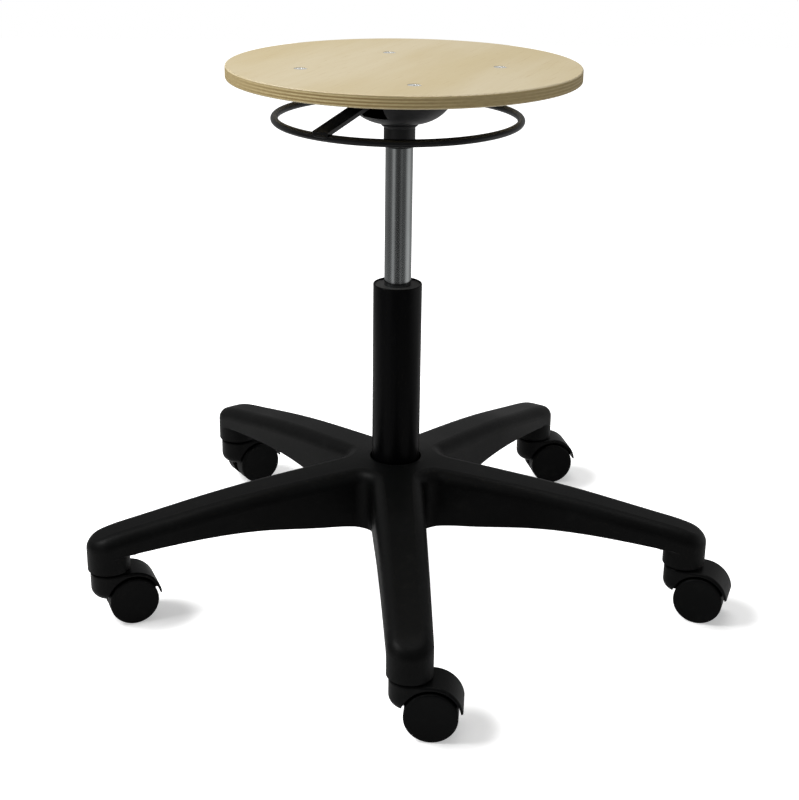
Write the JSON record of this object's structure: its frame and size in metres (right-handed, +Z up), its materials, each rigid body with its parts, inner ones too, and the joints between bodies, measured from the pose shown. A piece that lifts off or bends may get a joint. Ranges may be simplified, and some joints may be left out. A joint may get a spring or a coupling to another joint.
{
  "type": "machinist stool",
  "caption": "Backless work stool with a round plywood seat, gas spring height adjustment with a release ring, and a star base on twin-wheel casters.",
  "frame": {"origin": "on the floor, on the axis of the column", "axes": "+Z up along the column; -Y towards the leg that points at the viewer, +X to the right"},
  "size_m": [0.6727, 0.6311, 0.559],
  "materials": {
    "base_nylon": "black moulded nylon, soft sheen",
    "tube_black": "black satin powder coat",
    "bush_plastic": "black moulded plastic",
    "plain_steel": "zinc plated",
    "bearing_steel": "hardened and ground",
    "cage_brass": "pressed",
    "rod_chrome": "hard chrome",
    "piston_aluminium": "turned",
    "black_rubber": "moulded rubber",
    "cylinder_steel": "ground and polished grey steel",
    "housing_black": "black paint",
    "ring_black": "black satin paint",
    "seat_plywood": "birch plywood, clear lacquer",
    "screw_chrome": "bright plated",
    "hood_nylon": "black moulded nylon",
    "wheel_nylon": "black moulded nylon, smooth"
  },
  "bodies": {
    "base": {"star_base": "base_nylon", "stand_tube": "tube_black", "tube_bottom_plate": "plain_steel", "guide_bush": "bush_plastic", "thrust_lower_race": "bearing_steel", "caster_grip_rings": "bearing_steel", "caster_1_stem": "plain_steel", "caster_2_stem": "plain_steel", "caster_3_stem": "plain_steel", "caster_4_stem": "plain_steel", "caster_5_stem": "plain_steel"},
    "rod": {"piston_rod": "rod_chrome", "piston": "piston_aluminium", "piston_seal": "black_rubber", "thrust_upper_race": "bearing_steel", "clip_washer": "plain_steel", "rod_clip": "plain_steel", "bump_stop": "black_rubber"},
    "ball_cage": {"thrust_ball_cage": "cage_brass", "thrust_balls": "bearing_steel"},
    "seat": {"gas_cylinder": "cylinder_steel", "rod_guide": "bush_plastic", "rod_seal": "black_rubber", "inner_cylinder": "plain_steel", "valve_body": "piston_aluminium", "taper_socket": "housing_black", "bowl_housing": "housing_black", "mount_plate": "housing_black", "lever_bracket": "housing_black", "lever_pivot_pin": "plain_steel", "pin_clips": "plain_steel", "seat_disc": "seat_plywood", "seat_screws": "screw_chrome", "seat_washers": "plain_steel", "seat_nuts": "plain_steel"},
    "lever": {"ring_arm": "ring_black", "release_ring": "ring_black"},
    "button": {"release_button": "plain_steel", "valve_pin": "rod_chrome"},
    "caster_1": {"caster_1_hood": "hood_nylon", "caster_1_axle": "plain_steel"},
    "caster_1_left": {"caster_1_wheel_left": "wheel_nylon"},
    "caster_1_right": {"caster_1_wheel_right": "wheel_nylon"},
    "caster_2": {"caster_2_hood": "hood_nylon", "caster_2_axle": "plain_steel"},
    "caster_2_left": {"caster_2_wheel_left": "wheel_nylon"},
    "caster_2_right": {"caster_2_wheel_right": "wheel_nylon"},
    "caster_3": {"caster_3_hood": "hood_nylon", "caster_3_axle": "plain_steel"},
    "caster_3_left": {"caster_3_wheel_left": "wheel_nylon"},
    "caster_3_right": {"caster_3_wheel_right": "wheel_nylon"},
    "caster_4": {"caster_4_hood": "hood_nylon", "caster_4_axle": "plain_steel"},
    "caster_4_left": {"caster_4_wheel_left": "wheel_nylon"},
    "caster_4_right": {"caster_4_wheel_right": "wheel_nylon"},
    "caster_5": {"caster_5_hood": "hood_nylon", "caster_5_axle": "plain_steel"},
    "caster_5_left": {"caster_5_wheel_left": "wheel_nylon"},
    "caster_5_right": {"caster_5_wheel_right": "wheel_nylon"}
  },
  "joints": [
    {"name": "seat_swivel", "type": "hinge", "parent": "base", "child": "rod", "pos_m": [0, 0, 0.068], "axis": [0, 0, 1], "continuous": true},
    {"name": "ball_cage_turn", "type": "hinge", "parent": "base", "child": "ball_cage", "pos_m": [0, 0, 0.0645], "axis": [0, 0, 1], "continuous": true},
    {"name": "seat_height", "type": "slide", "parent": "rod", "child": "seat", "axis": [0, 0, 1], "range_m": [-0.127, 0]},
    {"name": "ring_lift", "type": "hinge", "parent": "seat", "child": "lever", "pos_m": [-0.01712, -0.02463, 0.5268], "axis": [-0.8211, 0.5707, 0], "range_deg": [0, 5], "stiffness_Nm_per_rad": 12, "springref_deg": -4.58},
    {"name": "button_press", "type": "slide", "parent": "seat", "child": "button", "axis": [0, 0, 1], "range_m": [-0.00262, 0]},
    {"name": "caster_1_swivel", "type": "hinge", "parent": "base", "child": "caster_1", "pos_m": [0.01542, -0.31412, 0.0569], "axis": [0, 0, 1], "continuous": true},
    {"name": "caster_1_left_spin", "type": "hinge", "parent": "caster_1", "child": "caster_1_left", "pos_m": [0.03607, -0.31557, 0.0254], "axis": [0.0698, 0.9976, 0], "continuous": true},
    {"name": "caster_1_right_spin", "type": "hinge", "parent": "caster_1", "child": "caster_1_right", "pos_m": [0.03607, -0.31557, 0.0254], "axis": [0.0698, 0.9976, 0], "continuous": true},
    {"name": "caster_2_swivel", "type": "hinge", "parent": "base", "child": "caster_2", "pos_m": [0.30351, -0.08241, 0.0569], "axis": [0, 0, 1], "continuous": true},
    {"name": "caster_2_left_spin", "type": "hinge", "parent": "caster_2", "child": "caster_2_left", "pos_m": [0.32302, -0.08932, 0.0254], "axis": [0.3338, 0.9426, 0], "continuous": true},
    {"name": "caster_2_right_spin", "type": "hinge", "parent": "caster_2", "child": "caster_2_right", "pos_m": [0.32302, -0.08932, 0.0254], "axis": [0.3338, 0.9426, 0], "continuous": true},
    {"name": "caster_3_swivel", "type": "hinge", "parent": "base", "child": "caster_3", "pos_m": [0.17216, 0.26319, 0.0569], "axis": [0, 0, 1], "continuous": true},
    {"name": "caster_3_left_spin", "type": "hinge", "parent": "caster_3", "child": "caster_3_left", "pos_m": [0.19248, 0.26714, 0.0254], "axis": [-0.1908, 0.9816, 0], "continuous": true},
    {"name": "caster_3_right_spin", "type": "hinge", "parent": "caster_3", "child": "caster_3_right", "pos_m": [0.19248, 0.26714, 0.0254], "axis": [-0.1908, 0.9816, 0], "continuous": true},
    {"name": "caster_4_swivel", "type": "hinge", "parent": "base", "child": "caster_4", "pos_m": [-0.19711, 0.24507, 0.0569], "axis": [0, 0, 1], "continuous": true},
    {"name": "caster_4_left_spin", "type": "hinge", "parent": "caster_4", "child": "caster_4_left", "pos_m": [-0.17956, 0.25604, 0.0254], "axis": [-0.5299, 0.848, 0], "continuous": true},
    {"name": "caster_4_right_spin", "type": "hinge", "parent": "caster_4", "child": "caster_4_right", "pos_m": [-0.17956, 0.25604, 0.0254], "axis": [-0.5299, 0.848, 0], "continuous": true},
    {"name": "caster_5_swivel", "type": "hinge", "parent": "base", "child": "caster_5", "pos_m": [-0.29398, -0.11173, 0.0569], "axis": [0, 0, 1], "continuous": true},
    {"name": "caster_5_left_spin", "type": "hinge", "parent": "caster_5", "child": "caster_5_left", "pos_m": [-0.27479, -0.10398, 0.0254], "axis": [-0.3746, 0.9272, 0], "continuous": true},
    {"name": "caster_5_right_spin", "type": "hinge", "parent": "caster_5", "child": "caster_5_right", "pos_m": [-0.27479, -0.10398, 0.0254], "axis": [-0.3746, 0.9272, 0], "continuous": true}
  ],
  "couplings": [
    {"joint": "ball_cage_turn", "follows": "seat_swivel", "ratio": 0.5},
    {"joint": "button_press", "follows": "ring_lift", "m_per_rad": -0.03}
  ]
}
